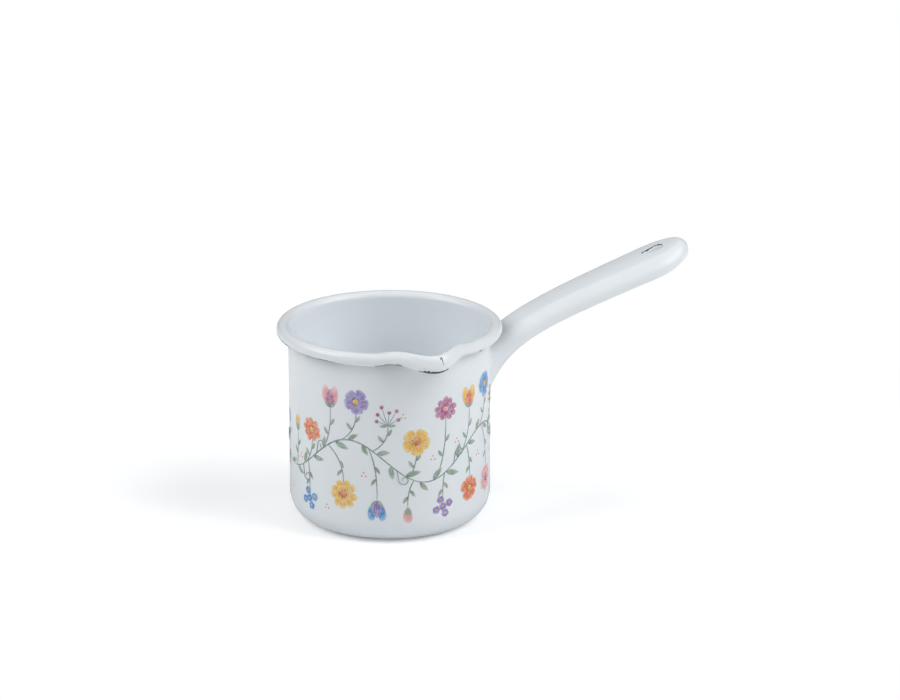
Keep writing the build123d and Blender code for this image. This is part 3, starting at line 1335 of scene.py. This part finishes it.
@dataclass
class Handle:
    """The pressed channel handle with its rounded end and hanging slot."""

    vessel: Vessel
    node: str = "handle"
    slot: str = "handle_enamel"
    wall: float = 1.2
    reach: float = 149.0
    tip_height: float = 117.7
    rise_angle: float = 17.2
    end_width: float = 27.2
    end_length: float = 20.0
    taper_angle: float = 1.9
    flank_depth: float = 7.6
    shoulder_radius: float = 6.0
    crown_camber: float = 1.4
    tip_rise: float = 1.2
    # Painted shade along the slot's far edge, laid in the ground coat's dark colour.
    slot_painted_shade_weight: float = 0.8
    root_sag: float = 10.3
    root_sag_length: float = 16.0
    root_extra_depth: float = 5.8
    root_depth_length: float = 8.0
    root_flare: float = 1.5
    root_flare_length: float = 5.0
    slot_length: float = 10.6
    slot_width: float = 5.6
    slot_point_width: float = 2.4
    slot_tip_margin: float = 12.2
    side_steps: int = 84
    end_steps: int = 48
    seat_depth: float = 0.5
    seat_fade: float = 16.0
    edge_round: float = 0.5
    edge_segments: int = 4
    edge_angle: float = 50.0

    def crown_height(self, reach: float) -> float:
        """Give the height of the crown's middle at a distance from the cup's axis.

        Args:
            reach: millimetres from the cup's axis.

        Returns:
            The height in millimetres.
        """
        straight = self.tip_height - (self.reach - reach) * math.tan(math.radians(self.rise_angle))
        sag = math.exp((self.vessel.radius_at_rim - reach) / self.root_sag_length)
        return straight - self.root_sag * sag

    def depth(self, reach: float) -> float:
        """Give the depth of the flanks at a distance from the cup's axis.

        Args:
            reach: millimetres from the cup's axis.

        Returns:
            The depth in millimetres.
        """
        extra = math.exp((self.vessel.radius_at_rim - reach) / self.root_depth_length)
        tip = max(0.0, 1.0 - (self.reach - reach) / self.end_length)
        return self.flank_depth + self.root_extra_depth * extra - self.tip_rise * tip ** 2

    def half_width(self, reach: float) -> float:
        """Give half of the width at a distance from the cup's axis.

        Args:
            reach: millimetres from the cup's axis.

        Returns:
            Half of the width in millimetres.
        """
        end_start = self.reach - self.end_length
        taper = (end_start - reach) * math.tan(math.radians(self.taper_angle))
        flare = math.exp((self.vessel.radius_at_rim - reach) / self.root_flare_length)
        return self.end_width / 2 - taper + self.root_flare * flare

    def seat(self, y: float) -> float:
        """Give the distance at which the handle meets the cup wall."""
        radius = self.vessel.outer_radius(self.vessel.foot_height) - self.seat_depth
        return math.sqrt(radius ** 2 - y ** 2)

    def outline(self) -> list[Point]:
        """Give the outline from above, down the near side and back up the far side.

        Returns:
            The outline's points.
        """
        end_start = self.reach - self.end_length
        start = self.seat(self.half_width(self.vessel.radius_at_rim))
        near = []
        for step in range(self.side_steps):
            x = start + (end_start - start) * step / self.side_steps
            near.append((x, -self.half_width(x)))
        half = self.half_width(end_start)
        end = []
        for step in range(self.end_steps + 1):
            turn = math.pi * (step / self.end_steps - 0.5)
            end.append((end_start + self.end_length * math.cos(turn), half * math.sin(turn)))
        return near + end + [(x, -y) for x, y in reversed(near)]

    def inner_line(self) -> list[Point]:
        """Give the line that each rib of the outline starts from.

        It is the middle of the crown, and then the edge of the hanging slot.

        Returns:
            As many points as the outline has.
        """
        end_start = self.reach - self.end_length
        slot_start = self.reach - self.slot_tip_margin - self.slot_length
        start = self.seat(0.0)
        run = []
        for step in range(self.side_steps):
            x = start + (end_start - start) * step / self.side_steps
            if x >= slot_start:
                break
            run.append((x, 0.0))
        total = 2 * self.side_steps + self.end_steps + 1
        around = spaced(self._slot_edge(), total - 2 * len(run))
        return run + around + list(reversed(run))

    def _slot_edge(self) -> list[Point]:
        """Give the slot's edge, from its root end round the near side and back.

        Returns:
            The edge's points.
        """
        tip_radius = self.slot_width / 2
        root_radius = self.slot_point_width / 2
        tip = (self.reach - self.slot_tip_margin - tip_radius, 0.0)
        root = (self.reach - self.slot_tip_margin - self.slot_length + root_radius, 0.0)
        tilt = math.degrees(math.acos((tip_radius - root_radius) / (tip[0] - root[0])))
        near = [
            *arc_points(root, root_radius, -HALF_TURN, -HALF_TURN + tilt, 8),
            on_circle(root, root_radius, -HALF_TURN + tilt),
            *arc_points(tip, tip_radius, -HALF_TURN + tilt, 0.0, 16),
        ]
        far = [(x, -y) for x, y in reversed(near)]
        return near + [on_circle(tip, tip_radius, 0.0)] + far

    def rib(self, inner: Point, outer: Point, crown_steps: int = 8, shoulder_steps: int = 12,
            flank_steps: int = 6) -> list[Vector]:
        """Give the points of one rib, from the crown over the shoulder down the flank.

        Args:
            inner: where the rib starts, seen from above.
            outer: where the rib meets the outline, seen from above.
            crown_steps: number of faces across the crown.
            shoulder_steps: number of faces round the shoulder.
            flank_steps: number of faces down the flank.

        Returns:
            The rib's points in millimetres.
        """
        span = math.dist(inner, outer)
        flat = span - self.shoulder_radius
        stops = [(flat * step / crown_steps, 0.0) for step in range(crown_steps)]
        for step in range(shoulder_steps):
            turn = math.pi / 2 * step / shoulder_steps
            stops.append((
                flat + self.shoulder_radius * math.sin(turn),
                self.shoulder_radius * (1 - math.cos(turn)),
            ))
        below = self.depth(outer[0]) - self.shoulder_radius
        for step in range(flank_steps + 1):
            stops.append((span, self.shoulder_radius + below * step / flank_steps))
        points = []
        for distance, drop in stops:
            share = distance / span
            x = inner[0] + (outer[0] - inner[0]) * share
            y = inner[1] + (outer[1] - inner[1]) * share
            camber = self.crown_camber * (y / (self.end_width / 2)) ** 2
            points.append(Vector((x, y, self.crown_height(x) - camber - drop)))
        return points

    def _seated(self, point: Vector, root_in: Point, root_out: Point) -> Vector:
        """Pull a point near the root onto the round wall.

        Args:
            point: a rib's point.
            root_in: where the first rib starts, seen from above.
            root_out: where the first rib meets the outline, seen from above.

        Returns:
            The moved point.
        """
        share = min(1.0, abs(point.y / root_out[1]))
        straight = root_in[0] + (root_out[0] - root_in[0]) * share
        fade = max(0.0, 1.0 - (point.x - straight) / self.seat_fade) ** 2
        moved = point.x + (self.seat(point.y) - straight) * fade
        return Vector((moved, point.y, point.z))

    def build(self, finish: WhiteEnamel) -> None:
        """Make the handle, which stands for its CAD node, and dress it.

        Args:
            finish: the enamel that covers the sheet.
        """
        outline = self.outline()
        inner_line = self.inner_line()
        ribs = [self.rib(inner, outer) for inner, outer in zip(inner_line, outline)]
        root_in, root_out = inner_line[0], outline[0]
        columns, rows = len(ribs) - 1, len(ribs[0]) - 1
        bm = bmesh.new()
        layer = bm.verts.layers.float.new(DARK_COAT_AND_SHADE)
        made = bmesh.ops.create_grid(bm, x_segments=columns, y_segments=rows, size=0.5)
        for vert in made["verts"]:
            column = round((vert.co.x + 0.5) * columns)
            row = round((vert.co.y + 0.5) * rows)
            # Painted shade: the ground coat's dark colour along the slot's far edge only, where the slot's cut
            # wall lies in shade.
            if row == 0 and inner_line[column][1] > 0.0:
                vert[layer] = self.slot_painted_shade_weight
            vert.co = self._seated(ribs[column][row], root_in, root_out) * MM
        bmesh.ops.remove_doubles(bm, verts=bm.verts, dist=MERGE_DISTANCE)
        bmesh.ops.recalc_face_normals(bm, faces=bm.faces)
        top = max(bm.faces, key=lambda face: face.calc_center_median().z)
        if top.normal.z < 0:
            bmesh.ops.reverse_faces(bm, faces=bm.faces)
        outside = set(bm.verts)
        bmesh.ops.solidify(bm, geom=bm.faces[:], thickness=self.wall * MM)
        for vert in bm.verts:
            if vert not in outside:
                vert[layer] = 0.0
        bmesh.ops.recalc_face_normals(bm, faces=bm.faces)
        grip = make_object("enamelled_handle", bm, [finish.build("handle_enamel", True)])
        edge = grip.modifiers.new("glazed_edges", "BEVEL")
        edge.width = self.edge_round * MM
        edge.segments = self.edge_segments
        edge.limit_method = "ANGLE"
        edge.angle_limit = math.radians(self.edge_angle)
        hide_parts(self.node)


@dataclass
class WeldBeads:
    """The beads that hold the handle's root, under the same enamel."""

    nodes: tuple[str, ...] = ("weld_near", "weld_far", "weld_crown")

    def dress(self, finish: WhiteEnamel) -> None:
        """Give the carried-over beads the enamel.

        Args:
            finish: the enamel that covers them.
        """
        material = finish.build("weld_enamel", False)
        for name in self.nodes:
            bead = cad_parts[name]
            bead.data.materials.clear()
            bead.data.materials.append(material)
            LOG.info("%s dressed", name)


@dataclass(frozen=True)
class Softbox:
    """One soft rectangular light that faces the pan.

    The place is metres to the camera's right, above the floor and toward the
    camera, the size is in metres and the power in watts.
    """

    name: str
    side: float
    height: float
    front: float
    size: Point
    power: float


@dataclass
class Studio:
    """A plain pale floor, soft lights and a camera at the photograph's angle."""

    azimuth: float = 22.0
    elevation: float = 17.82
    focal_px: float = 4356.2
    image_width_px: float = 900.0
    sensor_mm: float = 36.0
    distance_mm: float = 2001.0
    clip_end: float = 100.0
    target_height_mm: float = 50.0
    shift_right_mm: float = -27.70
    shift_up_mm: float = -27.39
    floor_size: float = 12.0
    floor_gap_mm: float = 0.05
    floor_colour: str = "F6F7F8"
    floor_lift: float = 0.3
    world_level: float = 0.05
    world_colour: str = "F4F7FC"
    far_from: float = 0.16
    far_to: float = 0.34
    softboxes: tuple[Softbox, ...] = (
        Softbox("left_box", -1.1, 1.0, 0.25, (1.15, 1.15), 12.2),
        Softbox("right_box", 1.1, 1.0, 0.25, (1.15, 1.15), 12.3),
        Softbox("right_front_box", 0.9, 0.9, 0.8, (0.7, 0.7), 2.3),
        Softbox("back_box", 0.0, 1.4, -0.8, (1.2, 0.8), 2.3),
        Softbox("front_box", 0.0, 1.0, 1.2, (0.8, 0.8), 1.7),
        Softbox("top_box", 0.0, 1.5, 0.7, (1.0, 1.0), 0.7),
    )

    def axes(self) -> tuple[Vector, Vector, Vector]:
        """Give the camera's right, up and forward directions.

        Returns:
            The three directions.
        """
        turn, tilt = math.radians(self.azimuth), math.radians(self.elevation)
        right = Vector((math.cos(turn), -math.sin(turn), 0.0))
        up = Vector((
            math.sin(turn) * math.sin(tilt), math.cos(turn) * math.sin(tilt), math.cos(tilt)
        ))
        forward = Vector((
            math.sin(turn) * math.cos(tilt), math.cos(turn) * math.cos(tilt), -math.sin(tilt)
        ))
        return right, up, forward

    def add_camera(self) -> None:
        """Make the scene's camera."""
        right, up, forward = self.axes()
        target = Vector((0.0, 0.0, self.target_height_mm))
        place = (
            target - right * self.shift_right_mm - up * self.shift_up_mm
            - forward * self.distance_mm
        )
        data = bpy.data.cameras.new("view")
        data.sensor_width = self.sensor_mm
        data.lens = self.focal_px / self.image_width_px * self.sensor_mm
        data.clip_end = self.clip_end
        camera = bpy.data.objects.new("view", data)
        turned = Matrix((right, up, -forward)).transposed()
        camera.matrix_world = Matrix.Translation(place * MM) @ turned.to_4x4()
        bpy.context.collection.objects.link(camera)
        bpy.context.scene.camera = camera

    def add_softbox(self, box: Softbox) -> None:
        """Make one light.

        Args:
            box: the light's place, size and power.
        """
        turn = math.radians(self.azimuth)
        right = Vector((math.cos(turn), -math.sin(turn), 0.0))
        back = Vector((math.sin(turn), math.cos(turn), 0.0))
        place = right * box.side - back * box.front + Vector((0.0, 0.0, box.height))
        data = bpy.data.lights.new(box.name, "AREA")
        data.shape = "RECTANGLE"
        data.size, data.size_y = box.size
        data.energy = box.power
        light = bpy.data.objects.new(box.name, data)
        aim = Vector((0.0, 0.0, self.target_height_mm * MM)) - place
        turned = aim.to_track_quat("-Z", "Y").to_matrix().to_4x4()
        light.matrix_world = Matrix.Translation(place) @ turned
        bpy.context.collection.objects.link(light)

    def add_world(self) -> None:
        """Light the pan evenly from all round and show the camera plain white."""
        world = bpy.data.worlds.new("studio")
        world.use_nodes = True
        tree = world.node_tree
        tree.nodes.clear()
        glow = {"Color": linear(self.world_colour), "Strength": self.world_level}
        light = add_node(tree, "Background", glow)
        white = add_node(tree, "Background", {"Color": linear("FFFFFF"), "Strength": 1.0})
        seen = add_node(tree, "LightPath", output="Is Camera Ray")
        both = add_node(tree, "MixShader", {0: seen, 1: light, 2: white})
        add_node(tree, "OutputWorld", {"Surface": both})
        bpy.context.scene.world = world

    def add_floor(self) -> None:
        """Make the floor, which keeps the pan's shadow and is plain white farther off."""
        bm = bmesh.new()
        bmesh.ops.create_grid(bm, x_segments=1, y_segments=1, size=self.floor_size / 2)
        bmesh.ops.translate(bm, verts=bm.verts, vec=(0.0, 0.0, -self.floor_gap_mm * MM))
        mesh = bpy.data.meshes.new("floor")
        bm.to_mesh(mesh)
        bm.free()
        floor = bpy.data.objects.new("floor", mesh)
        bpy.context.collection.objects.link(floor)
        mesh.materials.append(self._floor_paper())

    def _floor_paper(self) -> bpy.types.Material:
        """Make matt white background paper, lifted to plain white for the camera alone.

        Returns:
            The material.
        """
        material, tree = new_material("background_paper")
        paper = add_node(
            tree, "BsdfDiffuse", {"Color": linear(self.floor_colour), "Roughness": 1.0}
        )
        white = add_node(tree, "Emission", {"Color": linear("FFFFFF"), "Strength": 1.0})
        place = add_node(tree, "TexCoord", output="Object")
        away = add_node(tree, "VectorMath", {0: place}, "Value", operation="LENGTH")
        far = add_node(
            tree, "MapRange",
            {"Value": away, "From Min": self.far_from, "From Max": self.far_to}, **SMOOTH,
        )
        seen = add_node(tree, "LightPath", output="Is Camera Ray")
        factor = add_node(tree, "Math", {0: far, 1: seen}, operation="MULTIPLY")
        strength = add_node(tree, "Math", {0: seen, 1: self.floor_lift}, operation="MULTIPLY")
        lift = add_node(tree, "Emission", {"Color": linear("FFFFFF"), "Strength": strength})
        near = add_node(tree, "AddShader", {0: paper, 1: lift})
        both = add_node(tree, "MixShader", {0: factor, 1: near, 2: white})
        add_node(tree, "OutputMaterial", {"Surface": both})
        return material

    def build(self) -> None:
        """Set the camera, lights, floor and colour handling."""
        self.add_camera()
        self.add_world()
        self.add_floor()
        for box in self.softboxes:
            self.add_softbox(box)
        bpy.context.scene.view_settings.view_transform = "Standard"


def main() -> None:
    """Build the pan and its studio."""
    logging.basicConfig(level=logging.INFO, format="%(message)s")
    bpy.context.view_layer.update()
    enamel = WhiteEnamel()
    vessel = Vessel()
    vessel.build(enamel)
    Garland(vessel).build(enamel)
    Handle(vessel).build(enamel)
    WeldBeads().dress(enamel)
    Studio().build()
    bpy.context.view_layer.update()


if __name__ == "__main__":
    main()
